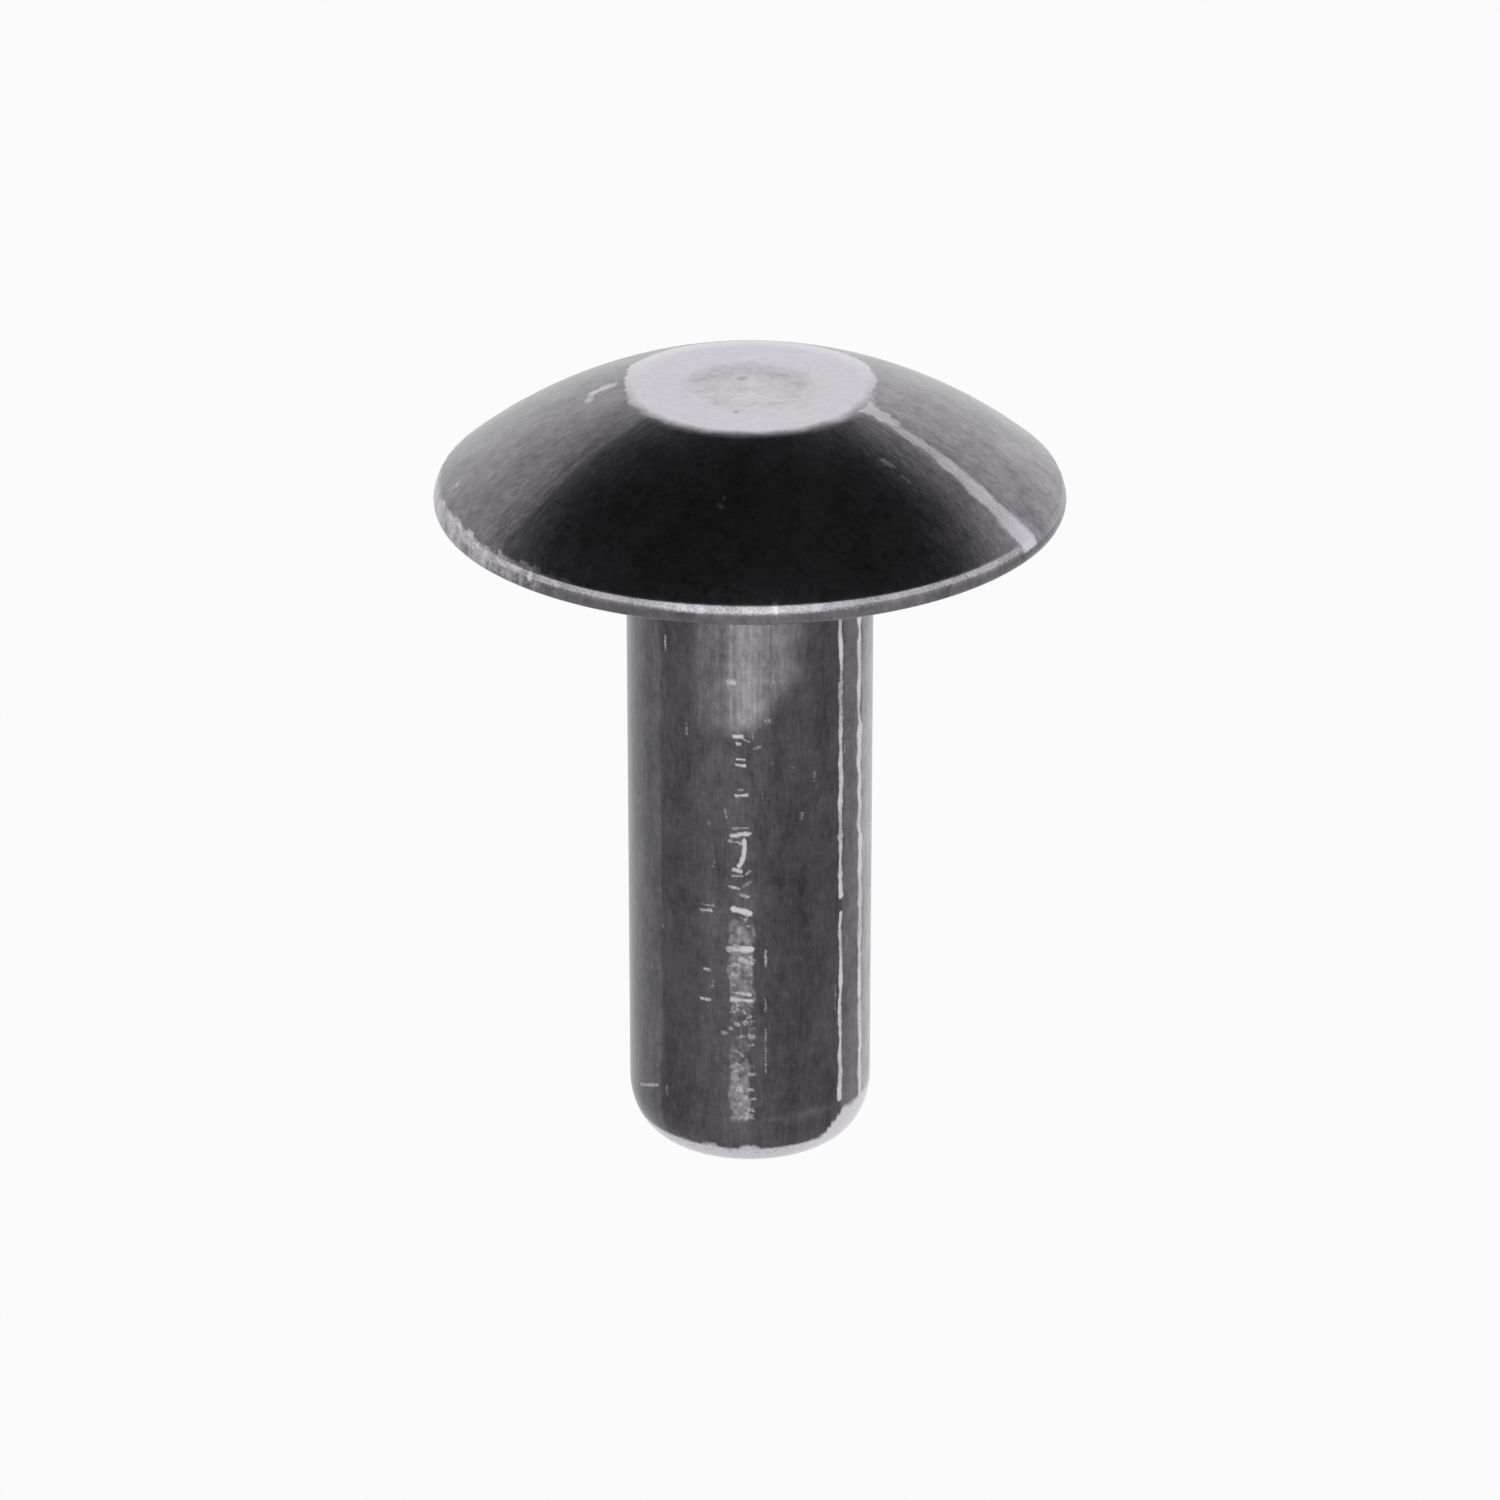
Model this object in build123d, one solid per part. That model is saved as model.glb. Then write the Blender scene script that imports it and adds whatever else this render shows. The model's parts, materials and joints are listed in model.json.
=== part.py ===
"""Solid rivet with a broad, low brazier-style head, cold headed from one piece of aluminium wire.

The head is a shallow dome with a flat crown. A faint round dish in the crown is the mark of the
heading punch, and the rim is the free edge that swelled between punch and die. The head's
underside is the flat seat that bears on the work. A small fillet joins it to the plain round
shank, which ends in a rounded nose with a flat, the face that is hammered to close the rivet.

Frame: millimetres. The origin is the centre of the seat, where the shank enters a hole. +Z points
out through the crown, and the shank runs down -Z to the flat end that the rivet stands on.
"""

from build123d import *
import os

# Shank
SHANK_DIAMETER = 5.0
SHANK_LENGTH = 14.0  # from the seat to the end
NOSE_LENGTH = 1.1  # height of the rounded nose above the end
NOSE_SETBACK = 0.65  # how far the nose draws in from the shank's wall to the flat end
SEAT_FILLET = 0.3  # where the shank meets the seat

# Head
HEAD_DIAMETER = 12.7  # over the swollen rim
HEAD_HEIGHT = 2.4  # from the seat to the crown
CROWN_DIAMETER = 5.1  # of the flat, to where its edge would be if it were sharp
CROWN_EDGE_RADIUS = 1.0  # softens the turn from the crown to the flank
FLANK_RADIUS = 10.2  # of the dome's arc, from the crown to the die edge
RIM_THICKNESS = 0.38  # from the seat to the sharp edge that the die leaves
RIM_SWELL = 0.09  # how far the rim stands out past that edge

# Mark of the heading punch in the crown
DISH_DIAMETER = 2.6
DISH_DEPTH = 0.04

shank_radius = SHANK_DIAMETER / 2
die_radius = HEAD_DIAMETER / 2 - RIM_SWELL


def head_edges(crown_centre: Vector, seat_inner: Vector) -> list[Edge]:
    """The head's half section, with the crown's edge still sharp.

    Args:
        crown_centre: the bottom of the dish, on the axis.
        seat_inner: where the seat meets the fillet.

    Returns:
        The edges in order, from the axis round the rim to the fillet.
    """
    dish_edge = Vector(DISH_DIAMETER / 2, HEAD_HEIGHT)
    crown_edge = Vector(CROWN_DIAMETER / 2, HEAD_HEIGHT)
    die_edge = Vector(die_radius, RIM_THICKNESS)
    rim_middle = Vector(HEAD_DIAMETER / 2, RIM_THICKNESS / 2)
    seat_outer = Vector(die_radius, 0)
    return [
        Edge.make_tangent_arc(crown_centre, Vector(1, 0), dish_edge),
        Edge.make_line(dish_edge, crown_edge),
        RadiusArc(crown_edge, die_edge, FLANK_RADIUS),
        Edge.make_three_point_arc(die_edge, rim_middle, seat_outer),
        Edge.make_line(seat_outer, seat_inner),
    ]


def shank_edges(seat_inner: Vector, end_centre: Vector) -> list[Edge]:
    """The shank's half section.

    Args:
        seat_inner: where the fillet leaves the seat.
        end_centre: the middle of the flat end, on the axis.

    Returns:
        The edges in order, from the seat down the wall to the axis.
    """
    wall_top = Vector(shank_radius, -SEAT_FILLET)
    wall_foot = Vector(shank_radius, NOSE_LENGTH - SHANK_LENGTH)
    end_edge = Vector(shank_radius - NOSE_SETBACK, -SHANK_LENGTH)
    return [
        Edge.make_tangent_arc(seat_inner, Vector(-1, 0), wall_top),
        Edge.make_line(wall_top, wall_foot),
        Edge.make_tangent_arc(wall_foot, Vector(0, -1), end_edge),
        Edge.make_line(end_edge, end_centre),
    ]


def soften_crown_edge(section: Face) -> Face:
    """Rounds the corner between the crown and the flank of a half section."""
    sharp = Vector(CROWN_DIAMETER / 2, HEAD_HEIGHT)
    corner = min(section.vertices(), key=lambda v: (Vector(v) - sharp).length)
    return section.fillet_2d(CROWN_EDGE_RADIUS, [corner])


def solid_rivet() -> Solid:
    """The whole rivet: its half section turned once round the shank's axis."""
    crown_centre = Vector(0, HEAD_HEIGHT - DISH_DEPTH)
    seat_inner = Vector(shank_radius + SEAT_FILLET, 0)
    end_centre = Vector(0, -SHANK_LENGTH)
    outline = [
        *head_edges(crown_centre, seat_inner),
        *shank_edges(seat_inner, end_centre),
        Edge.make_line(end_centre, crown_centre),
    ]
    section = soften_crown_edge(Face(Wire(outline)))
    turned = revolve(Plane.XZ * section, Axis.Z)
    return turned.solid()


os.makedirs("parts", exist_ok=True)
rivet = solid_rivet()
rivet.label = "solid_rivet"
export_step(rivet, "parts/solid_rivet.step")
print(f"solid_rivet: {rivet.volume:.2f} mm3, size {rivet.bounding_box().size}")
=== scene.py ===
"""Looks of a solid rivet: a broad, low head with a flat crown, and a plain shank with a rounded end.

The rivet is cold headed from drawn aluminium wire. Its dull dark grey is painted dark reflection, and bare
metal shows where tools and other rivets have rubbed it: on the crown, along a few long scores, on
the rim and round the end. One mesh holds the whole form with its scores and nicks pressed into it.

Sizes are millimetres unless a name says otherwise, and turn into metres where a mesh is made.
Azimuth 0 is the front, towards -Y, and it grows towards +X. Where wear and film are worked out, a
number beside an azimuth is degrees, and one beside a radius, a height or a depth is millimetres.
"""

import json
import logging
import math
import random
from dataclasses import dataclass, field
from enum import Enum

import bpy
import numpy as np
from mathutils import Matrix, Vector, noise

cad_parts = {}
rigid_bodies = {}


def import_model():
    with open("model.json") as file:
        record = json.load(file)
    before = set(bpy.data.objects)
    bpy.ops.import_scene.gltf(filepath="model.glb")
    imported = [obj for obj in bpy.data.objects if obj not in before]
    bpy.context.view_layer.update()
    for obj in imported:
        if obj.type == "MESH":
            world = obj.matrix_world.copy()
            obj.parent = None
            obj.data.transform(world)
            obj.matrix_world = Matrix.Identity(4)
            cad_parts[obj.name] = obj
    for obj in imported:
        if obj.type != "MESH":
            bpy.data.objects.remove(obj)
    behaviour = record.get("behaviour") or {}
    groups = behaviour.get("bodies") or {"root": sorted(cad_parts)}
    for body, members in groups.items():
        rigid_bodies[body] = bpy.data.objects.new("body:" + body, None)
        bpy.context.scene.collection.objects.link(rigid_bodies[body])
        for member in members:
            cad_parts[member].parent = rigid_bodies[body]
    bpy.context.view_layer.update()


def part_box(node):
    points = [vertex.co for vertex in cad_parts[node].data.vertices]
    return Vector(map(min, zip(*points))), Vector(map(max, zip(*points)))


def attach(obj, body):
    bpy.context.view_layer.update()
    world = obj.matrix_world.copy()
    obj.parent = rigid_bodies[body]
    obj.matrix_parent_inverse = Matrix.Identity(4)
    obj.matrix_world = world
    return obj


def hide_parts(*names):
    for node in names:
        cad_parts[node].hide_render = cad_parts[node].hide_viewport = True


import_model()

MM = 0.001
NODE = "solid_rivet"
HEAD_FROM = 0.2  # marks of the head lie above this height, marks of the shank below

logging.basicConfig(level=logging.INFO, format="%(message)s")
log = logging.getLogger("rivet")


class Side(Enum):
    """Which surface a mark lies on, and so how its places are given."""

    HEAD = "azimuth and radius"
    SHANK = "azimuth and height"


def linear(hex_colour: str) -> tuple[float, float, float, float]:
    """Turns an sRGB hex colour into the linear colour that a shader takes.

    Args:
        hex_colour: six hex digits.

    Returns:
        Linear red, green, blue and an alpha of 1.
    """
    channels = [int(hex_colour[i : i + 2], 16) / 255 for i in (0, 2, 4)]
    lit = [c / 12.92 if c <= 0.04045 else ((c + 0.055) / 1.055) ** 2.4 for c in channels]
    return (*lit, 1.0)


def add(
    tree: bpy.types.NodeTree,
    kind: str,
    settings: dict | None = None,
    links: dict | None = None,
) -> bpy.types.Node:
    """Adds a node with its settings and links.

    Args:
        tree: the node tree.
        kind: the node's type, as Blender names it.
        settings: attributes by name, and input values by index or by socket name.
        links: what feeds an input, by index or by socket name. A node stands for its first
            output.

    Returns:
        The new node.
    """
    node = tree.nodes.new(kind)
    for key, value in (settings or {}).items():
        if isinstance(key, str) and hasattr(node, key):
            setattr(node, key, value)
        else:
            node.inputs[key].default_value = value
    for key, source in (links or {}).items():
        socket = source.outputs[0] if isinstance(source, bpy.types.Node) else source
        tree.links.new(socket, node.inputs[key])
    return node


def smooth_step(low: float, high: float, value: np.ndarray) -> np.ndarray:
    """0 below low, 1 above high and a smooth rise between them."""
    t = np.clip((value - low) / (high - low), 0, 1)
    return t * t * (3 - 2 * t)


def noise_along(values: np.ndarray, spacing: float, seed: float) -> np.ndarray:
    """Smooth noise between about -1 and 1 along a line.

    Args:
        values: places along the line.
        spacing: the usual distance between one rise and the next.
        seed: which noise it is.

    Returns:
        The noise at each place.
    """
    knots = np.arange(values.min() - 2 * spacing, values.max() + 3 * spacing, spacing / 6)
    heights = [2 * noise.noise(Vector((k / spacing, seed, 7.3))) for k in knots]
    return np.interp(values, knots, heights)


def noise_over(u: np.ndarray, v: np.ndarray, spacing: float, seed: float) -> np.ndarray:
    """Smooth noise between about -1 and 1 over a surface.

    Args:
        u: places along the surface.
        v: places across it.
        spacing: the usual distance between one rise and the next.
        seed: which noise it is.

    Returns:
        The noise at each place.
    """
    places = [Vector((a / spacing, b / spacing, seed)) for a, b in zip(u, v)]
    return np.array([2 * noise.noise(place) for place in places])


@dataclass(frozen=True)
class Mark:
    """A straight score, nick or rubbed place, from one point of the surface to another."""

    side: Side
    start: tuple[float, float]  # azimuth in degrees, then radius on the head or height on the shank
    end: tuple[float, float]
    half_width: float
    depth: float = 0.0
    bare: float = 1.0  # how much of the painted dark reflection it takes away, as rubbed bare metal
    ragged: float = 0.0  # how much its width varies along it, as a share
    taper: float = 0.0  # how much narrower its start is than its end, as a share; below 0, wider
    wander: float = 0.0  # how far it strays to either side of the straight line
    patchy: float = 0.0  # how much its bareness varies along it, as a share
    seed: float = 1.0


@dataclass(frozen=True)
class Sector:
    """A run of azimuth that is spun with one spacing."""

    to_azimuth: float
    step: float


@dataclass(frozen=True)
class Finish:
    """Tumbled bare aluminium, dulled by a grey coat of painted dark reflection.

    To the eye it is a dull dark grey metal with lengthwise draw lines, and every rubbed place
    shines pale through the painted reflection.
    """

    name: str = "tumbled_aluminium"
    bare_metal: str = "CDCAD1"
    crown_metal: str = "D4D1D8"
    # these two colours are painted dark reflection, the paler and the darker
    pale_painted_reflection: str = "9A979D"
    dark_painted_reflection: str = "484649"
    draw_line_spacing: float = 0.06  # on the shank; they fan out over the head
    draw_line_length: float = 0.3125
    lines_per_band: float = 7.142857  # wider bands run along with the draw lines
    pit_size: float = 0.05
    mottle_size: float = 1 / 6
    wander_size: float = 0.25
    cloud_size: float = 0.625
    relief: float = 0.01
    roughness: float = 0.24
    roughness_spread: float = 0.015  # to either side
    painted_pit_shade: tuple[tuple[float, float, float], ...] = (  # x, y, radius
        (-0.16, 0.57, 0.12),
        (-0.28, -1.31, 0.08),
    )


@dataclass
class Patterns:
    """The places and noises in a material's tree that its colours are made from."""

    tree: bpy.types.NodeTree
    flat: bpy.types.Node  # the place without its height
    radius: bpy.types.NodeSocket
    height: bpy.types.NodeSocket
    back: bpy.types.NodeSocket  # 1 behind the axis, -1 in front of it
    grain: bpy.types.Node
    bands: bpy.types.Node
    pits: bpy.types.Node
    cloud: bpy.types.Node
    wander: bpy.types.Node
    mottle: bpy.types.Node


@dataclass
class Skin:
    """A body's vertices, and what wear has done to each."""

    body: bpy.types.Object
    x: np.ndarray = field(init=False)
    y: np.ndarray = field(init=False)
    z: np.ndarray = field(init=False)
    radius: np.ndarray = field(init=False)
    azimuth: np.ndarray = field(init=False)  # in degrees
    bare: np.ndarray = field(init=False)  # 0 under the whole painted dark reflection, 1 on bare metal
    depth: np.ndarray = field(init=False)

    def __post_init__(self) -> None:
        """Reads the vertices, unworn."""
        places = np.empty(len(self.body.data.vertices) * 3)
        self.body.data.vertices.foreach_get("co", places)
        self.x, self.y, self.z = places.reshape(-1, 3).T / MM
        self.radius = np.hypot(self.x, self.y)
        self.azimuth = np.degrees(np.arctan2(self.x, -self.y))
        self.bare = np.zeros(len(self.x))
        self.depth = np.zeros(len(self.x))

    def store(self, name: str, values: np.ndarray) -> None:
        """Keeps a value at each vertex under a name that the material reads."""
        attribute = self.body.data.attributes.new(name, "FLOAT", "POINT")
        attribute.data.foreach_set("value", values.astype(np.float32))

    def press(self) -> None:
        """Sinks the vertices by their depths, along their normals."""
        deepest = self.depth.max()
        group = self.body.vertex_groups.new(name="pressed")
        for index in np.nonzero(self.depth > 0)[0]:
            group.add([int(index)], float(self.depth[index] / deepest), "REPLACE")
        press = self.body.modifiers.new("press", "DISPLACE")
        press.direction = "NORMAL"
        press.mid_level = 0.0
        press.strength = -deepest * MM
        press.vertex_group = group.name
        bpy.ops.object.modifier_apply(modifier=press.name)


@dataclass
class Rivet:
    """The rivet's form, wear and finish."""

    head_radius: float = field(init=False)
    head_height: float = field(init=False)
    end_height: float = field(init=False)
    shank_radius: float = 2.5
    crown_radius: float = 2.46
    crown_edge: float = 0.1  # how far the turn from crown to flank reaches
    flank_radius: float = 10.2
    rim_height: float = 0.38  # from the seat to the die edge
    rim_swell: float = 0.09  # how far the rim stands out past that edge
    seat_fillet: float = 0.3
    nose_length: float = 1.1
    nose_setback: float = 0.65
    dish_radius: float = 1.3
    dish_depth: float = 0.04
    first_azimuth: float = -12.0
    sectors: tuple[Sector, ...] = (
        Sector(12, 0.44),
        Sector(44, 2.2),
        Sector(72, 0.5),
        Sector(262, 4.75),
        Sector(298, 1.6),
        Sector(320, 0.7),
        Sector(334, 1.5),
        Sector(348, 0.78),
    )
    finish: Finish = field(default_factory=Finish)

    def __post_init__(self) -> None:
        """Takes the overall sizes from the frame."""
        low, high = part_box(NODE)
        self.head_radius = high.x / MM
        self.head_height = high.z / MM
        self.end_height = low.z / MM

    def flank(self, count: int) -> list[tuple[float, float]]:
        """The dome's arc from the crown's edge to the die edge.

        Args:
            count: how many points, with both ends.

        Returns:
            Radius and height of each point.
        """
        top = Vector((self.crown_radius, self.head_height))
        foot = Vector((self.head_radius - self.rim_swell, self.rim_height))
        chord = foot - top
        inward = Vector((chord.y, -chord.x)).normalized()
        centre = (top + foot) / 2 + inward * math.sqrt(self.flank_radius**2 - (chord.length / 2) ** 2)
        first = math.atan2(top.y - centre.y, top.x - centre.x)
        last = math.atan2(foot.y - centre.y, foot.x - centre.x)
        turns = [first + (last - first) * i / (count - 1) for i in range(count)]
        return [
            (centre.x + self.flank_radius * math.cos(t), centre.y + self.flank_radius * math.sin(t))
            for t in turns
        ]

    def outline(self) -> list[tuple[float, float]]:
        """Draws the half section.

        Returns:
            Its points as radius and height, from the crown's centre to the end's.
        """
        top = self.head_height
        rim = self.head_radius
        die = rim - self.rim_swell
        wall = self.shank_radius
        end = self.end_height
        points = []
        for i in range(13):  # the dish left by the heading punch
            share = i / 12
            points.append((self.dish_radius * share, top - self.dish_depth * (1 - share**2)))
        flat_width = self.crown_radius - self.crown_edge - self.dish_radius
        for i in range(1, 9):
            points.append((self.dish_radius + flat_width * i / 8, top))
        arc = self.flank(72)
        points += [p for p in arc if p[0] > self.crown_radius + self.crown_edge]
        # the rim, bevelled above and rounded below, as shares of its swell and height
        rim_turn = [(0.06, 0.985), (0.2, 0.92), (0.4, 0.82), (0.55, 0.745), (0.68, 0.66)]
        rim_turn += [(0.85, 0.5), (1.0, 0.36), (0.95, 0.18), (0.75, 0.06), (0.4, 0.0)]
        points += [(die + self.rim_swell * out, self.rim_height * up) for out, up in rim_turn]
        for i in range(1, 6):  # the seat
            points.append((die + (wall + self.seat_fillet - die) * i / 5, 0.0))
        for i in range(1, 6):  # the fillet
            turn = math.pi / 2 * i / 5
            out = self.seat_fillet * (1 - math.sin(turn))
            points.append((wall + out, -self.seat_fillet * (1 - math.cos(turn))))
        plain_end = end + self.nose_length
        height = -self.seat_fillet
        while height > plain_end + 0.05:  # the plain wall, closest where the fine dents are
            height -= 0.12 if height > -3.9 else 0.04
            points.append((wall, max(height, plain_end)))
        whole = math.pi / 2 * 0.94  # the rounded nose meets the flat end at a slight corner
        for i in range(1, 15):
            turn = whole * i / 14
            sink = self.nose_length * math.sin(turn) / math.sin(whole)
            inset = self.nose_setback * (1 - math.cos(turn)) / (1 - math.cos(whole))
            points.append((wall - inset, plain_end - sink))
        flat = wall - self.nose_setback
        for i in range(1, 5):  # the flat end
            points.append((flat * (1 - i / 4), end))
        return points

    def spin(self) -> bpy.types.Object:
        """Draws the half section and spins it round the axis, closest where the fine marks are.

        Returns:
            The closed body of the rivet.
        """
        bpy.ops.object.select_all(action="DESELECT")
        points = self.outline()
        a = math.radians(self.first_azimuth)
        first = Vector((0, 0, points[0][1] * MM))
        bpy.ops.mesh.primitive_plane_add(size=MM, location=first)
        body = bpy.context.object
        body.name = "rivet_body"
        bpy.ops.object.transform_apply(location=True)
        bpy.ops.object.mode_set(mode="EDIT")
        bpy.ops.mesh.merge(type="CENTER")
        for (r0, z0), (r1, z1) in zip(points, points[1:]):
            out = (r1 - r0) * MM
            move = (out * math.sin(a), -out * math.cos(a), (z1 - z0) * MM)
            bpy.ops.mesh.extrude_region_move(TRANSFORM_OT_translate={"value": move})
        bpy.ops.mesh.select_all(action="SELECT")
        azimuth = self.first_azimuth
        for sector in self.sectors:
            turn = sector.to_azimuth - azimuth
            steps = round(turn / sector.step)
            bpy.ops.mesh.spin(steps=steps, angle=math.radians(turn), center=(0, 0, 0), axis=(0, 0, -1))
            azimuth = sector.to_azimuth
        bpy.ops.mesh.select_all(action="SELECT")
        bpy.ops.mesh.remove_doubles(threshold=0.002 * MM)
        bpy.ops.mesh.normals_make_consistent(inside=False)
        bpy.ops.object.mode_set(mode="OBJECT")
        return body

    def marks(self) -> list[Mark]:
        """Lists the scores, nicks and chips that are seen one by one.

        Returns:
            The marks, in the order that they are laid on.
        """
        head, shank = Side.HEAD, Side.SHANK
        foot = self.end_height + self.nose_length
        made = [
            # the long radial score over the flank and the rim
            Mark(head, (63.7, 2.9), (60.4, 6.4), 0.3, 0.003, 1.0, 0.2, 0.6, 0.035, 0.25, seed=3.1),
            Mark(head, (66.0, 2.4), (65.0, 3.12), 0.15, 0.0, 1.0, 0.5, -1.9, seed=4.7),
            # the two long scores down the shank
            Mark(shank, (46.2, -0.2), (47.7, -8.05), 0.055, 0.006, 1.0, 0.5, 0, 0.02, 0.35, seed=5.5),
            Mark(shank, (47.6, -8.45), (48.0, foot + 0.2), 0.062, 0.006, 1.0, 0.4, 0.3, 0.02, 0.3, seed=6.2),
            Mark(shank, (60.4, -0.2), (66.0, foot), 0.085, 0.008, 1.0, 0.45, 0, 0.035, 0.25, seed=7.9),
            # thin scratches and small dents on the flank
            Mark(head, (-55.0, 3.5), (-55.0, 6.3), 0.035, 0.0, 0.36, 0.6, patchy=0.5, seed=8.4),
            Mark(head, (-97.0, 2.8), (-94.2, 3.25), 0.12, 0.0, 0.85, 0.8, 0, 0.03, 0.4, seed=9.6),
            Mark(head, (-94.2, 3.2), (-88.0, 3.2), 0.11, 0.0, 0.85, 0.8, 0, 0.03, 0.4, seed=2.2),
            Mark(head, (-81.5, 5.9), (-80.0, 6.3), 0.035, 0.006, 0.7, 0.4, seed=1.9),
            Mark(head, (-78.0, 5.7), (-77.5, 6.25), 0.025, 0.006, 0.6, 0.4, seed=1.2),
            Mark(head, (44.0, 3.75), (45.2, 3.95), 0.06, 0.0, 1.0, 0.4, seed=3.3),
            Mark(head, (45.0, 4.2), (45.3, 4.4), 0.035, 0.0, 0.8, 0.4, seed=3.9),
            Mark(head, (-7.9, 4.33), (-7.3, 4.38), 0.05, 0.012, 0.9),
            Mark(head, (-7.2, 4.15), (-7.0, 4.2), 0.04, 0.01, 0.7),
            # chips in the rim
            Mark(head, (-42.9, 6.2), (-42.7, 6.3), 0.05, 0.0, 1.0, 0.3),
            Mark(head, (4.4, 6.24), (4.6, 6.3), 0.06, 0.0, 1.0, 0.3),
            # the scrape round the left of the end
            Mark(shank, (-66.0, -12.72), (-49.5, -12.42), 0.03, 0.006, 0.6, 0.5, seed=2.8),
        ]
        dice = random.Random(7)
        for _ in range(34):  # small chips along the left of the rim
            azimuth = dice.uniform(-80, -30)
            radius = dice.uniform(6.17, 6.28)
            end = (azimuth + dice.uniform(0.4, 2.6), radius + dice.uniform(-0.02, 0.04))
            width = dice.uniform(0.015, 0.035)
            made.append(Mark(head, (azimuth, radius), end, width, 0.0, dice.uniform(0.5, 1.0), 0.4))
        return made

    def fine_marks(self) -> list[Mark]:
        """Lists the column of small dents down the front, and the stray specks round the shank.

        Returns:
            The marks, in the order that they are laid on.
        """
        shank = Side.SHANK
        bars = [  # azimuth, height, half span in degrees, half width, tilt in mm, bare
            (-5.6, -4.09, 1.7, 0.055, 0.0, 0.9),
            (-5.3, -4.26, 0.8, 0.04, 0.0, 0.7),
            (-1.6, -4.2, 1.0, 0.03, -0.03, 0.6),
            (3.4, -4.38, 1.5, 0.03, 0.04, 0.6),
            (-4.3, -4.63, 1.7, 0.02, 0.0, 1.0),
            (-4.3, -4.75, 2.0, 0.03, 0.0, 1.0),
            (-4.2, -5.27, 1.0, 0.025, 0.0, 0.5),
            (-4.0, -5.4, 2.6, 0.035, 0.02, 1.0),
            (-4.4, -6.16, 3.2, 0.025, 0.03, 0.6),
            (-4.2, -6.3, 4.2, 0.055, 0.07, 1.0),
            (-6.8, -6.46, 3.0, 0.035, -0.03, 0.8),
            (-5.8, -7.08, 1.6, 0.06, -0.04, 0.9),
            (-5.6, -7.2, 2.4, 0.02, 0.0, 0.7),
            (-0.6, -7.15, 0.8, 0.035, 0.08, 0.6),
            (-7.4, -7.48, 2.2, 0.03, -0.02, 0.7),
            (-1.2, -7.4, 1.6, 0.04, 0.12, 0.5),
            (-2.6, -7.66, 1.6, 0.05, -0.05, 0.6),
            (-4.0, -8.02, 3.6, 0.09, -0.1, 1.0),
            (-4.7, -8.87, 5.0, 0.07, 0.03, 1.0),
            (-1.6, -9.16, 2.4, 0.08, -0.08, 0.8),
            (-3.9, -9.88, 4.0, 0.03, -0.04, 0.95),
            (-4.0, -10.02, 4.8, 0.035, -0.03, 1.0),
            (-19.3, -7.93, 2.2, 0.025, 0.03, 0.85),
            (-20.8, -8.06, 2.4, 0.03, 0.03, 1.0),
            (-21.3, -10.06, 2.4, 0.028, 0.0, 1.0),
            (-20.8, -9.4, 1.2, 0.025, 0.0, 0.8),
            (-12.3, -10.78, 1.0, 0.05, 0.0, 0.6),
            (-8.6, -2.96, 1.6, 0.03, 0.0, 0.8),
            (-1.6, -2.28, 1.0, 0.05, 0.0, 0.9),
            (8.2, -3.75, 0.9, 0.04, 0.0, 0.5),
        ]
        made = [
            Mark(
                shank,
                (a - half, z - tilt / 2),
                (a + half, z + tilt / 2),
                width * 0.9,
                0.01,
                bare,
                0.5,
                wander=0.02,
                patchy=0.3,
                seed=a + z,
            )
            for a, z, half, width, tilt, bare in bars
        ]
        dashes = [  # azimuth, from height, to height, half width, bare
            (-42.8, -2.2, -2.45, 0.02, 0.6),
            (-39.3, -3.25, -3.5, 0.018, 0.6),
            (-26.7, -3.42, -3.6, 0.025, 0.6),
            (7.3, -8.9, -9.25, 0.02, 0.55),
            (7.4, -10.0, -10.3, 0.018, 0.4),
            (7.4, -10.7, -11.7, 0.018, 0.35),
            (44.5, -10.0, -10.6, 0.02, 0.3),
        ]
        made += [
            Mark(shank, (a, z0), (a, z1), width, 0.008, bare, 0.4, seed=z0)
            for a, z0, z1, width, bare in dashes
        ]
        hook = [(-2.7, -6.42), (-2.5, -6.6), (-3.0, -6.78), (-4.2, -6.94), (-5.0, -6.98)]
        made += [Mark(shank, a, b, 0.045, 0.008, 0.95, 0.4, seed=b[1]) for a, b in zip(hook, hook[1:])]
        dice = random.Random(41)
        for _ in range(150):  # the crowded specks towards the end
            height = -12.75 + 4.6 * dice.random() ** 1.5
            azimuth = dice.uniform(-9.0, 1.6)
            half = dice.uniform(0.3, 1.5)
            bare = dice.uniform(0.15, 0.6)
            rise = dice.uniform(-0.03, 0.03)
            width = dice.uniform(0.012, 0.035)
            start, end = (azimuth - half, height - rise), (azimuth + half, height + rise)
            made.append(Mark(shank, start, end, width, 0.006, bare))
        for _ in range(160):  # stray specks all round
            height = dice.uniform(-12.8, -0.8)
            azimuth = dice.uniform(-180, 180)
            long = dice.uniform(0.02, 0.12)
            start, end = (azimuth, height - long), (azimuth + dice.uniform(-1, 1), height + long)
            made.append(Mark(shank, start, end, 0.016, 0.003, dice.uniform(0.15, 0.42)))
        return made

    def unrolled(self, side: Side, azimuth: float, along: float) -> tuple[float, float]:
        """Turns a place of a mark into millimetres on the sheet that its side unrolls to.

        Args:
            side: which surface the mark lies on.
            azimuth: in degrees.
            along: radius on the head, or height on the shank.

        Returns:
            The place on the sheet: x and y on the head, arc and height on the shank.
        """
        turn = math.radians(azimuth)
        if side is Side.HEAD:
            return along * math.sin(turn), -along * math.cos(turn)
        return turn * self.shank_radius, along

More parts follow.
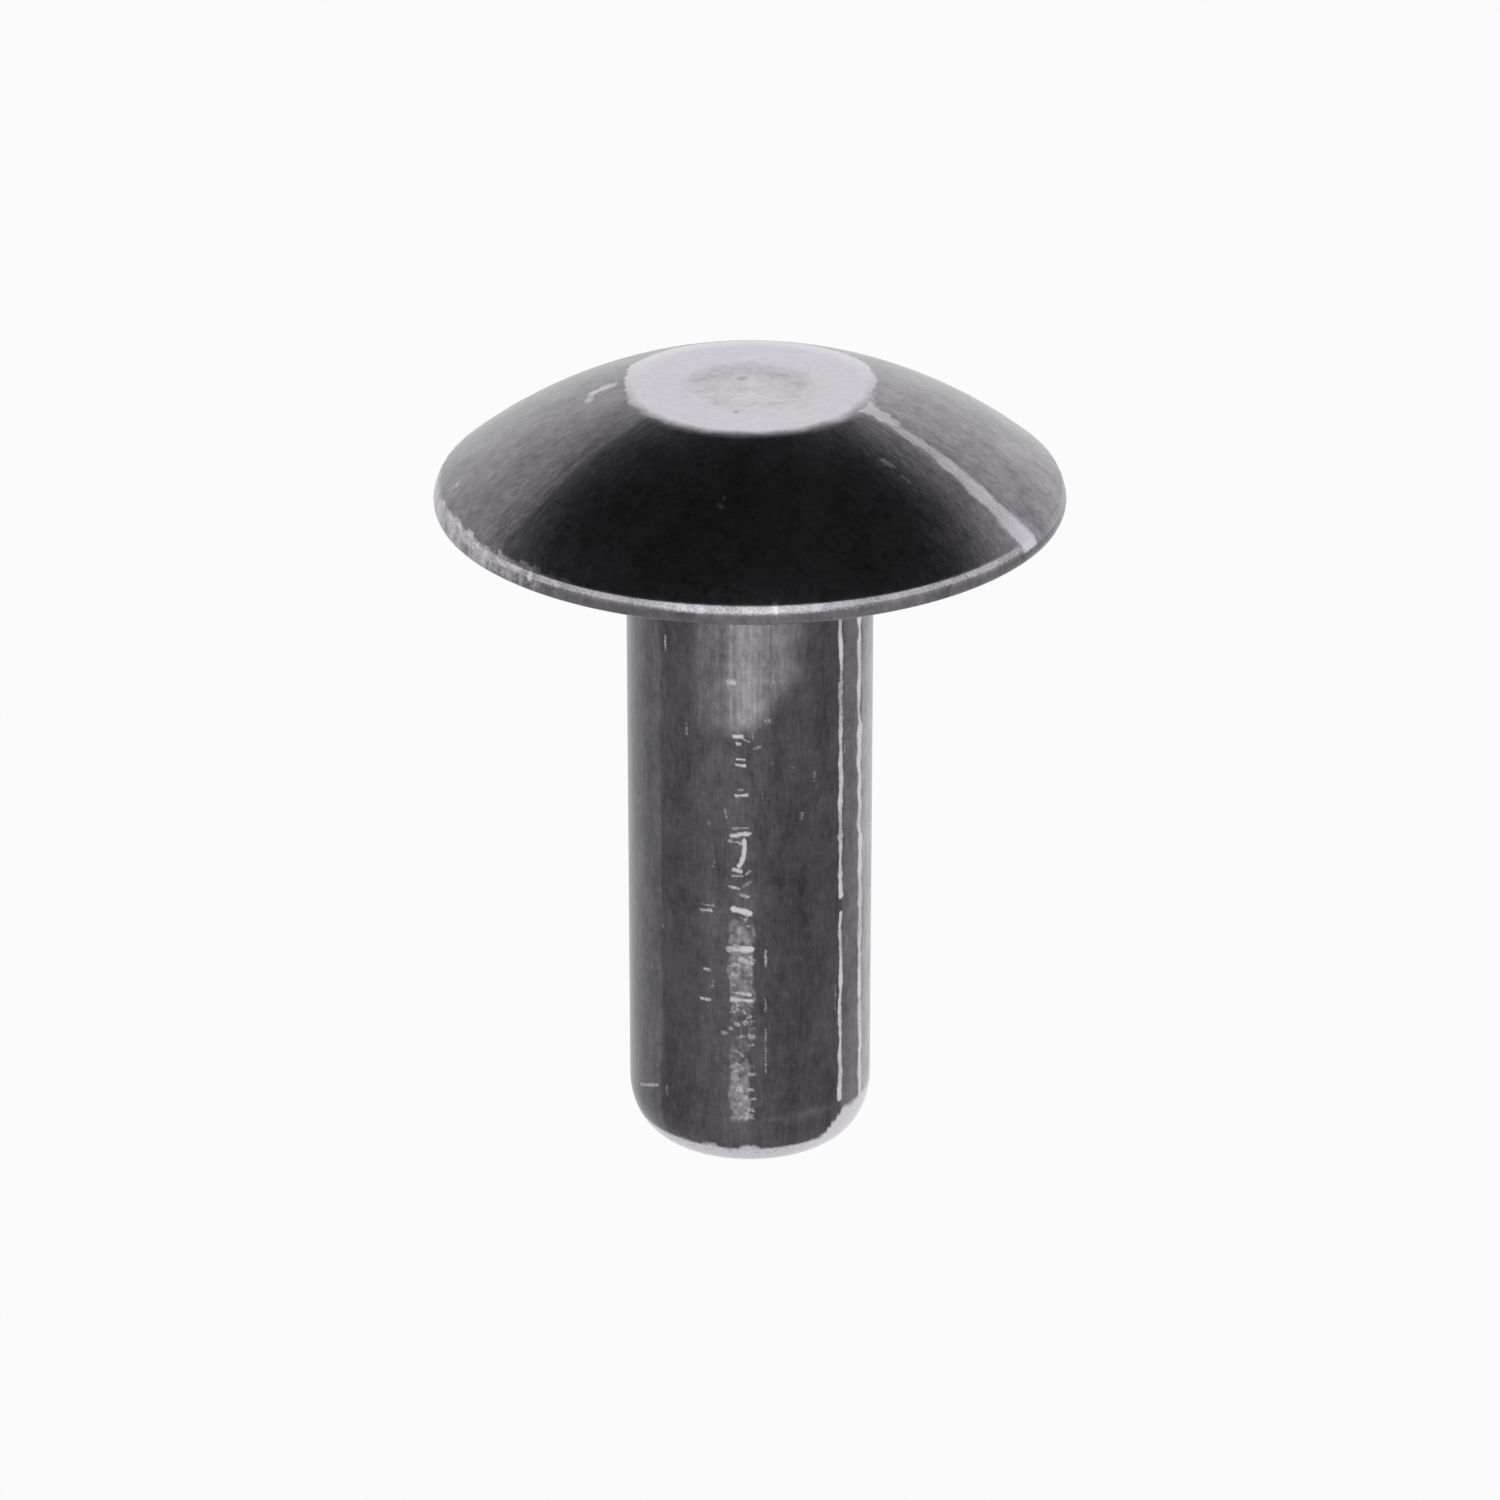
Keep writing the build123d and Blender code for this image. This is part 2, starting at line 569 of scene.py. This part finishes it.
    def lay_mark(self, skin: Skin, mark: Mark) -> None:
        """Wears one mark into the skin, where that leaves it barer or deeper than it was.

        Args:
            skin: the vertices to wear.
            mark: what to lay on them.
        """
        if mark.side is Side.HEAD:
            u, v, here = skin.x, skin.y, skin.z > HEAD_FROM
        else:
            u, v, here = np.radians(skin.azimuth) * self.shank_radius, skin.z, skin.z <= HEAD_FROM
        u0, v0 = self.unrolled(mark.side, *mark.start)
        u1, v1 = self.unrolled(mark.side, *mark.end)
        long = max(math.hypot(u1 - u0, v1 - v0), 1e-6)
        around = long / 2 + 0.5
        near = here & (np.abs(u - (u0 + u1) / 2) < around) & (np.abs(v - (v0 + v1) / 2) < around)
        if not near.any():
            return
        u, v = u[near], v[near]
        reach = ((u - u0) * (u1 - u0) + (v - v0) * (v1 - v0)) / long
        run = np.clip(reach, 0, long)
        aside = ((v - v0) * (u1 - u0) - (u - u0) * (v1 - v0)) / long
        aside = aside - mark.wander * noise_along(run, 0.45, mark.seed + 20)
        off = np.hypot(aside, reach - run)
        width = mark.half_width * (1 - mark.taper * (1 - run / long))
        rough = 0.6 * noise_along(run, 0.4, mark.seed) + 0.5 * noise_along(run, 0.13, mark.seed + 5)
        width = width * (1 + mark.ragged * rough)
        inside = 1 - smooth_step(0.0, 1.0, (off - width * 0.6) / np.maximum(width * 0.8, 0.03))
        patches = 0.5 + 0.7 * noise_along(run, 0.6, mark.seed + 40)
        strength = mark.bare * (1 - mark.patchy * patches)
        skin.bare[near] = np.maximum(skin.bare[near], inside * strength)
        skin.depth[near] = np.maximum(skin.depth[near], inside * mark.depth)

    def wear(self, body: bpy.types.Object) -> None:
        """Presses the marks into the body, and keeps how bare each vertex is and how light its painted
        reflection is.

        Args:
            body: the rivet, still selected and active.
        """
        skin = Skin(body)
        for mark in [*self.marks(), *self.fine_marks()]:
            self.lay_mark(skin, mark)
        skin.store("bare", np.maximum(skin.bare, self.rubbed(skin)))
        # the painted reflection's lightness at each vertex, which the material turns into painted dark
        # reflection colour
        skin.store("painted_reflection", self.painted_reflection(skin))
        skin.press()

    def rubbed(self, skin: Skin) -> np.ndarray:
        """Finds how bare the rivet is where it is rubbed over an area and not along a score.

        Args:
            skin: the vertices.

        Returns:
            At each vertex, 0 under the whole painted dark reflection, up to 1 on bare metal.
        """
        azimuth, radius, z = skin.azimuth, skin.radius, skin.z
        # the end, worn higher up on its right
        line = self.end_height + 0.52 + 0.05 * noise_along(azimuth, 9.0, 12.4)
        line = line + 0.5 * smooth_step(36, 52, azimuth) * smooth_step(-150, -110, -azimuth)
        end = smooth_step(-0.03, 0.05, line - z) * (0.85 + 0.15 * smooth_step(15, 45, azimuth))
        # the rim's bevel, round the front
        lowest = 0.26 - 0.05 * np.exp(-((azimuth / 14) ** 2))
        bevel = smooth_step(6.22, 6.26, radius) * smooth_step(-0.02, 0.02, z - lowest)
        uneven = 0.6 + 0.12 * noise_along(azimuth, 2.2, 3.3)
        bevel = bevel * smooth_step(0, 30, 85 - np.abs(azimuth + 10)) * uneven
        # the whole rim, on its left
        left = smooth_step(6.16, 6.24, radius) * smooth_step(0.0, 0.1, z) * smooth_step(28, 50, -azimuth)
        left = left * (0.45 + 0.2 * noise_along(azimuth, 1.1, 8.8))
        return np.clip(np.maximum.reduce([end, bevel, left]), 0, 1)

    def painted_reflection(self, skin: Skin) -> np.ndarray:
        """Finds how light the painted reflection is.

        Args:
            skin: the vertices.

        Returns:
            At each vertex, 0 where the painted reflection is darkest, up to 1 where it is lightest.
        """
        # the rim and the flank get their painted dark reflection here, and the shank below
        on_rim = (skin.radius > self.head_radius - self.rim_swell - 0.01) & (skin.z < HEAD_FROM)
        rim = 0.2 + 0.1 * smooth_step(-30, 10, skin.azimuth)
        head = np.where(on_rim, rim, self.flank_painted_reflection(skin.azimuth))
        return np.where(skin.z < -0.02, self.shank_painted_reflection(skin.azimuth, skin.z), head)

    def flank_painted_reflection(self, azimuth: np.ndarray) -> np.ndarray:
        """Finds how light the flank's painted reflection is, with a sharp change on its left.

        Args:
            azimuth: of each vertex, in degrees.

        Returns:
            The painted reflection at each vertex, on the same scale as for the whole rivet.
        """
        # lighter towards the right and darker in a band on the left front: painted reflection
        flank = 0.5 + 0.22 * smooth_step(36, 62, azimuth)
        flank = flank + 0.1 * smooth_step(-62, -54, azimuth) * smooth_step(52.5, 53.5, -azimuth)
        return flank - 0.26 * smooth_step(-53.5, -51.5, azimuth) * smooth_step(25, 46, -azimuth)

    def shank_painted_reflection(self, azimuth: np.ndarray, z: np.ndarray) -> np.ndarray:
        """Finds how light the shank's painted reflection is: lighter strips, a pale patch, a painted sheen
        along the dents and a band round the foot.

        Args:
            azimuth: of each vertex, in degrees.
            z: each vertex's height.

        Returns:
            The film at each vertex, as film() gives it.
        """
        # lighter strips down both sides and a lighter middle: painted reflection
        left = smooth_step(45.3, 47.5, -azimuth + noise_along(z, 0.8, 5.1)) * 0.14
        right = smooth_step(47.5, 49.5, azimuth) * 0.2 + smooth_step(62.5, 67.0, azimuth) * 0.6
        right = right - 0.66 * smooth_step(84, 150, azimuth)
        middle = 0.14 * np.exp(-(((azimuth + 9) / 17) ** 2))
        foot_band = 0.12 * np.exp(-(((z + 12.78) / 0.1) ** 2))
        foot_band = foot_band * smooth_step(-50, -20, azimuth) * smooth_step(-50, -35, -azimuth)
        layers = [left, right, self.painted_reflection_patch(azimuth, z), middle, self.crowded(azimuth, z), foot_band]
        return np.maximum.reduce(layers)

    def painted_reflection_patch(self, azimuth: np.ndarray, z: np.ndarray) -> np.ndarray:
        """Finds the pale patch of painted reflection on the front, just under the head.

        Args:
            azimuth: of each vertex, in degrees.
            z: each vertex's height.

        Returns:
            0 off the patch, up to about 0.9 at its lightest.
        """
        deep = -z
        edge = 21.0 - 2.0 * np.maximum(deep - 1.9, 0) - 12.0 * np.maximum(deep - 2.9, 0)
        soft = 14.0 - 7.0 * smooth_step(2.6, 3.6, deep)
        ripple = 2.0 * noise_along(z, 0.25, 2.9)
        # a pale patch of painted reflection, edged by a slanting line
        patch = 0.5 * smooth_step(-29, -22, azimuth) + 0.25 * smooth_step(-25, -12, azimuth)
        patch = patch + 0.25 * smooth_step(-16, -7, azimuth)
        patch = patch * smooth_step(-1.0, 1.0, (edge + ripple - azimuth) / soft)
        patch = patch * smooth_step(0, 0.9, z + 4.5)
        patch = patch * (0.54 + 0.32 * np.exp(-(((azimuth + 4) / 9) ** 2)))
        streaks = 0.16 * noise_along(azimuth, 1.3, 6.6) + 0.1 * noise_along(azimuth, 3.1, 9.1)
        return patch * (1 + streaks)

    def crowded(self, azimuth: np.ndarray, z: np.ndarray) -> np.ndarray:
        """Finds the painted sheen along the strip of fine dents down the front of the shank.

        Args:
            azimuth: of each vertex, in degrees.
            z: each vertex's height.

        Returns:
            0 off the strip, up to 0.7 where the dents are crowded.
        """
        # painted sheen along the strip of fine dents
        near = (np.abs(azimuth + 4) < 9) & (z < -5.5) & (z > -13)
        a, deep = azimuth[near], -z[near]
        left = -9.6 + 1.2 * noise_along(deep, 0.35, 1.7)
        right = 1.4 - 1.6 * smooth_step(11, 12, deep) + 1.2 * noise_along(deep, 0.3, 6.4)
        across = smooth_step(-0.6, 0.8, a - left) * smooth_step(-0.6, 0.8, right - a)
        dense = 0.1 + 0.36 * smooth_step(8.1, 8.4, deep) - 0.26 * smooth_step(10.1, 10.4, deep)
        dense = dense + 0.26 * smooth_step(11.1, 11.6, deep)
        grainy = 1.15 + 0.6 * noise_over(np.radians(a) * self.shank_radius, deep, 0.1, 4.4)
        ends = smooth_step(5.8, 6.4, deep) * smooth_step(-12.95, -12.6, -deep)
        strip = np.zeros(len(z))
        strip[near] = across * dense * grainy * ends
        return np.clip(strip, 0, 0.7)

    def dress(self, body: bpy.types.Object) -> None:
        """Gives the body its finish."""
        body.data.materials.clear()
        body.data.materials.append(self.material())
        for polygon in body.data.polygons:
            polygon.use_smooth = True

    def patterns(self, tree: bpy.types.NodeTree) -> Patterns:
        """Lays out the places and noises that the finish is made from.

        Args:
            tree: the material's tree.

        Returns:
            The nodes and sockets that the colours read.
        """
        finish = self.finish
        where = add(tree, "ShaderNodeTexCoord")
        in_mm = {"operation": "SCALE", "Scale": 1 / MM}
        place = add(tree, "ShaderNodeVectorMath", in_mm, {0: where.outputs["Object"]})
        parts = add(tree, "ShaderNodeSeparateXYZ", links={0: place})
        flat = add(tree, "ShaderNodeCombineXYZ", links={0: parts.outputs[0], 1: parts.outputs[1]})
        length = add(tree, "ShaderNodeVectorMath", {"operation": "LENGTH"}, {0: flat})
        radius = length.outputs["Value"]
        outward = add(tree, "ShaderNodeVectorMath", {"operation": "NORMALIZE"}, {0: flat})
        back = add(tree, "ShaderNodeSeparateXYZ", links={0: outward})
        # the draw lines run down the shank and fan out over the head
        round_shank = {"operation": "SCALE", "Scale": self.shank_radius / finish.draw_line_spacing}
        spread = add(tree, "ShaderNodeVectorMath", round_shank, {0: outward})
        down = add(tree, "ShaderNodeMath", {"operation": "SUBTRACT"}, {0: radius, 1: parts.outputs[2]})
        along = {"operation": "MULTIPLY", 1: 1 / finish.draw_line_length}
        drawn = add(tree, "ShaderNodeMath", along, {0: down})
        lift = add(tree, "ShaderNodeCombineXYZ", links={2: drawn})
        drawn_place = add(tree, "ShaderNodeVectorMath", {"operation": "ADD"}, {0: spread, 1: lift})
        layouts = {  # where each noise lies, its size there, its detail and its roughness
            "grain": (drawn_place, 1.0, 3.0, 0.6),
            "bands": (drawn_place, finish.lines_per_band, 3.0, 0.5),
            "pits": (place, finish.pit_size, 4.0, 0.5),
            "cloud": (place, finish.cloud_size, 4.0, 0.6),
            "wander": (place, finish.wander_size, 5.0, 0.6),
            "mottle": (place, finish.mottle_size, 6.0, 0.7),
        }
        noises = {}
        for name, (at, size, detail, rough) in layouts.items():
            settings = {"Scale": 1 / size, "Detail": detail, "Roughness": rough}
            noises[name] = add(tree, "ShaderNodeTexNoise", settings, {"Vector": at})
        return Patterns(tree, flat, radius, parts.outputs[2], back.outputs[1], **noises)

    def crown_reach(self, base: Patterns) -> bpy.types.Node:
        """Finds each place's radius as the crown's worn edge takes it.

        Args:
            base: the material's patterns.

        Returns:
            The radius, made ragged, and less at the back, where the wear reaches further out.
        """
        tree = base.tree
        drift = add(tree, "ShaderNodeMapRange", {1: 0.1, 2: 0.8, 3: 0.0, 4: 0.46}, {0: base.back})
        centred = {"operation": "MULTIPLY_ADD", 1: 0.24, 2: -0.12}
        fringe = add(tree, "ShaderNodeMath", centred, {0: base.wander})
        for share, pattern in ((0.2, base.mottle), (0.3, base.cloud)):
            scaled = {"operation": "MULTIPLY_ADD", 1: share}
            fringe = add(tree, "ShaderNodeMath", scaled, {0: pattern, 2: fringe})
        reach = add(tree, "ShaderNodeMath", {"operation": "ADD"}, {0: base.radius, 1: fringe})
        return add(tree, "ShaderNodeMath", {"operation": "SUBTRACT"}, {0: reach, 1: drift})

    def crown_share(self, base: Patterns, reach: bpy.types.Node) -> bpy.types.Node:
        """Finds the crown's worn flat.

        Args:
            base: the material's patterns.
            reach: the radius that crown_reach() gives.

        Returns:
            1 on the worn flat, 0 off it.
        """
        edges = {1: self.crown_radius + 0.31, 2: self.crown_radius + 0.25}
        inside = add(base.tree, "ShaderNodeMapRange", edges, {0: reach})
        above = add(base.tree, "ShaderNodeMath", {"operation": "GREATER_THAN", 1: 0.1}, {0: base.height})
        return add(base.tree, "ShaderNodeMath", {"operation": "MULTIPLY"}, {0: inside, 1: above})

    def crown_colour(self, base: Patterns, reach: bpy.types.Node) -> bpy.types.Node:
        """Colours the crown, darker in a ring round the dish, with painted shade in two pits and along its
        front edge.

        Args:
            base: the material's patterns.
            reach: the radius that crown_reach() gives.

        Returns:
            The crown's colour.
        """
        tree = base.tree
        wobble = add(tree, "ShaderNodeMath", {"operation": "MULTIPLY_ADD", 1: 0.9, 2: -0.45}, {0: base.cloud})
        ring = add(tree, "ShaderNodeMath", {"operation": "ADD"}, {0: base.radius, 1: wobble})
        ring = add(tree, "ShaderNodeMath", {"operation": "SUBTRACT", 1: self.dish_radius * 0.72}, {0: ring})
        ring = add(tree, "ShaderNodeMath", {"operation": "ABSOLUTE"}, {0: ring})
        ring = add(tree, "ShaderNodeMapRange", {1: 0.0, 2: 0.55, 3: 0.3, 4: 0.0}, {0: ring})
        broken = add(tree, "ShaderNodeMapRange", {1: 0.36, 2: 0.62, 3: 0.15, 4: 0.8}, {0: base.wander})
        ring = add(tree, "ShaderNodeMath", {"operation": "MULTIPLY"}, {0: ring, 1: broken})
        worn = add(tree, "ShaderNodeMapRange", {1: 0.35, 2: 0.65, 3: 0.12, 4: 0.0}, {0: base.mottle})
        spots = add(tree, "ShaderNodeMapRange", {1: 0.64, 2: 0.74, 3: 0.0, 4: 0.2}, {0: base.mottle})
        # painted shade along the crown's outer edge, strongest at the front
        front = add(tree, "ShaderNodeMapRange", {1: 0.3, 2: -0.6, 3: 0.06, 4: 0.5}, {0: base.back})
        edge = {1: self.crown_radius + 0.06, 2: self.crown_radius + 0.26, 3: 0.0}
        shades = [worn, spots, add(tree, "ShaderNodeMapRange", edge, {0: reach, 4: front})]
        # painted shade in two pits, which are not pressed into the mesh
        for x, y, wide in self.finish.painted_pit_shade:
            centre = {"operation": "DISTANCE", 1: (x, y, 0)}
            away = add(tree, "ShaderNodeVectorMath", centre, {0: base.flat}).outputs["Value"]
            sides = {1: wide * 0.4, 2: wide * 1.3, 3: 0.28, 4: 0.0}
            shades.append(add(tree, "ShaderNodeMapRange", sides, {0: away}))
        shade = ring
        for more in shades:
            shade = add(tree, "ShaderNodeMath", {"operation": "ADD"}, {0: shade, 1: more})
        light = add(tree, "ShaderNodeMath", {"operation": "SUBTRACT", 0: 1.0}, {1: shade})
        metal = add(tree, "ShaderNodeRGB")
        metal.outputs[0].default_value = linear(self.finish.crown_metal)
        return add(tree, "ShaderNodeVectorMath", {"operation": "SCALE"}, {0: metal, "Scale": light})

    def painted_reflection_and_bare_colour(self, base: Patterns) -> bpy.types.NodeSocket:
        """Colours the painted dark reflection, and the bare metal in the marks with their torn edges.

        Args:
            base: the material's patterns.

        Returns:
            The colour of everything but the crown.
        """
        tree, finish = base.tree, self.finish
        # painted dark reflection, from its darker to its paler colour
        thin = add(tree, "ShaderNodeAttribute", {"attribute_name": "painted_reflection"})
        painted_reflections = {"data_type": "RGBA", 6: linear(finish.dark_painted_reflection), 7: linear(finish.pale_painted_reflection)}
        painted_reflection = add(tree, "ShaderNodeMix", painted_reflections, {0: thin.outputs["Fac"]})
        streak = base.grain
        for more in (base.bands, base.mottle, base.cloud):
            streak = add(tree, "ShaderNodeMath", {"operation": "ADD"}, {0: streak, 1: more})
        tone = add(tree, "ShaderNodeMapRange", {1: 1.5, 2: 2.5, 3: 0.56, 4: 1.48}, {0: streak})
        toned = add(tree, "ShaderNodeVectorMath", {"operation": "SCALE"}, {0: painted_reflection.outputs[2], "Scale": tone})
        marked = add(tree, "ShaderNodeAttribute", {"attribute_name": "bare"})
        torn = add(tree, "ShaderNodeMath", {"operation": "MULTIPLY_ADD", 1: 0.9, 2: -0.45}, {0: base.pits})
        edge = add(tree, "ShaderNodeMath", {"operation": "ADD"}, {0: marked.outputs["Fac"], 1: torn})
        rubbed = add(tree, "ShaderNodeMapRange", {1: 0.2, 2: 0.95}, {0: edge})
        metal = {"data_type": "RGBA", 7: linear(finish.bare_metal)}
        return add(tree, "ShaderNodeMix", metal, {0: rubbed, 6: toned}).outputs[2]

    def material(self) -> bpy.types.Material:
        """Makes the finish: aluminium dulled by painted dark reflection, pale where it is rubbed bare.

        Returns:
            The material.
        """
        finish = self.finish
        material = bpy.data.materials.new(finish.name)
        material.use_nodes = True
        tree = material.node_tree
        tree.nodes.clear()
        base = self.patterns(tree)
        reach = self.crown_reach(base)
        colours = {
            0: self.crown_share(base, reach),
            6: self.painted_reflection_and_bare_colour(base),
            7: self.crown_colour(base, reach),
        }
        colour = add(tree, "ShaderNodeMix", {"data_type": "RGBA"}, colours)
        smoothest = finish.roughness - finish.roughness_spread
        roughest = finish.roughness + finish.roughness_spread
        rough = add(tree, "ShaderNodeMapRange", {1: 0.3, 2: 0.7, 3: smoothest, 4: roughest}, {0: base.mottle})
        joined = {"operation": "MULTIPLY_ADD", 1: 0.5}
        bumps = add(tree, "ShaderNodeMath", joined, {0: base.pits, 2: base.grain})
        depth = {"Strength": 0.35, "Distance": finish.relief * MM}
        relief = add(tree, "ShaderNodeBump", depth, {"Height": bumps})
        inputs = {"Base Color": colour.outputs[2], "Roughness": rough, "Normal": relief}
        shader = add(tree, "ShaderNodeBsdfPrincipled", {"Metallic": 1.0}, inputs)
        add(tree, "ShaderNodeOutputMaterial", links={"Surface": shader})
        return material

    def build(self) -> bpy.types.Object:
        """Makes the rivet and places it on its body.

        Returns:
            The rivet.
        """
        body = self.spin()
        self.wear(body)
        self.dress(body)
        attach(body, "root")
        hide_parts(NODE)
        log.info("rivet_body: %d faces", len(body.data.polygons))
        return body


@dataclass
class Studio:
    """A pale floor under a bright horizon and a dark ceiling, with one soft lamp in front."""

    floor_height: float = -14.0
    floor_half_size: float = 1500.0
    floor_glow: float = 0.93  # how much of the floor's white is its own and takes no shadow
    bright_below: float = 26.0  # degrees above the horizon
    dark_above: float = 50.0
    ceiling: float = 0.03  # how bright it is, as a share of the horizon
    camera_pitch: float = 24.77
    camera_distance: float = 140.0
    camera_aim: float = -5.56
    camera_lens: float = 164.5

    def floor(self) -> None:
        """Lays the floor, which shows white and keeps part of the rivet's shadow."""
        bpy.ops.object.select_all(action="DESELECT")
        middle = (0, 0, self.floor_height * MM)
        bpy.ops.mesh.primitive_plane_add(size=2 * self.floor_half_size * MM, location=middle)
        floor = bpy.context.object
        floor.name = "floor"
        bpy.ops.object.transform_apply(location=True)
        material = bpy.data.materials.new("pale_floor")
        material.use_nodes = True
        tree = material.node_tree
        tree.nodes.clear()
        path = add(tree, "ShaderNodeLightPath")
        seen = path.outputs["Is Camera Ray"]
        for ray in ("Is Glossy Ray", "Is Transmission Ray"):
            seen = add(tree, "ShaderNodeMath", {"operation": "MAXIMUM"}, {0: seen, 1: path.outputs[ray]})
        share = add(tree, "ShaderNodeMath", {"operation": "MULTIPLY", 1: self.floor_glow}, {0: seen})
        matt = add(tree, "ShaderNodeBsdfDiffuse", {"Color": linear("FFFFFF")})
        white = add(tree, "ShaderNodeEmission", {"Strength": 1.0})
        mixed = add(tree, "ShaderNodeMixShader", links={0: share, 1: matt, 2: white})
        add(tree, "ShaderNodeOutputMaterial", links={"Surface": mixed})
        floor.data.materials.append(material)

    def world(self) -> None:
        """Lights the room: bright round the horizon, dark overhead."""
        world = bpy.data.worlds.new("studio")
        bpy.context.scene.world = world
        world.use_nodes = True
        tree = world.node_tree
        tree.nodes.clear()
        where = add(tree, "ShaderNodeTexCoord")
        parts = add(tree, "ShaderNodeSeparateXYZ", links={0: where.outputs["Generated"]})
        fade = {
            "interpolation_type": "SMOOTHSTEP",
            1: math.sin(math.radians(self.bright_below)),
            2: math.sin(math.radians(self.dark_above)),
            3: 1.0,
            4: self.ceiling,
        }
        level = add(tree, "ShaderNodeMapRange", fade, {0: parts.outputs[2]})
        light = add(tree, "ShaderNodeBackground", {"Color": (1, 1, 1, 1)}, {"Strength": level})
        add(tree, "ShaderNodeOutputWorld", links={"Surface": light})

    def lamp(
        self,
        name: str,
        azimuth: float,
        elevation: float,
        distance: float,
        size: float,
        power: float,
    ) -> None:
        """Adds a square soft lamp that faces the rivet.

        Args:
            name: what the lamp is called.
            azimuth: where it stands, in degrees.
            elevation: how high it stands, in degrees.
            distance: from the rivet.
            size: of its side.
            power: in watts.
        """
        a, e = math.radians(azimuth), math.radians(elevation)
        away = Vector((math.sin(a) * math.cos(e), -math.cos(a) * math.cos(e), math.sin(e)))
        data = bpy.data.lights.new(name, "AREA")
        data.size = size * MM
        data.energy = power
        lamp = bpy.data.objects.new(name, data)
        bpy.context.scene.collection.objects.link(lamp)
        lamp.location = away * distance * MM
        lamp.rotation_euler = away.to_track_quat("Z", "Y").to_euler()

    def camera(self) -> None:
        """Sets up the camera: a little above, straight in front."""
        pitch = math.radians(self.camera_pitch)
        away = Vector((0, -math.cos(pitch), math.sin(pitch)))
        data = bpy.data.cameras.new("camera")
        data.lens = self.camera_lens
        data.clip_start = 0.005
        camera = bpy.data.objects.new("camera", data)
        bpy.context.scene.collection.objects.link(camera)
        camera.location = Vector((0, 0, self.camera_aim * MM)) + away * self.camera_distance * MM
        camera.rotation_euler = away.to_track_quat("Z", "Y").to_euler()
        bpy.context.scene.camera = camera

    def build(self) -> None:
        """Sets up the floor, the light and the camera."""
        self.floor()
        self.world()
        self.lamp("front_lamp", azimuth=0, elevation=36, distance=450, size=480, power=0.45)
        self.camera()
        bpy.context.scene.view_settings.view_transform = "Standard"
        log.info("studio ready")


def main() -> None:
    """Builds the rivet and its studio."""
    Rivet().build()
    Studio().build()


if __name__ == "__main__":
    main()
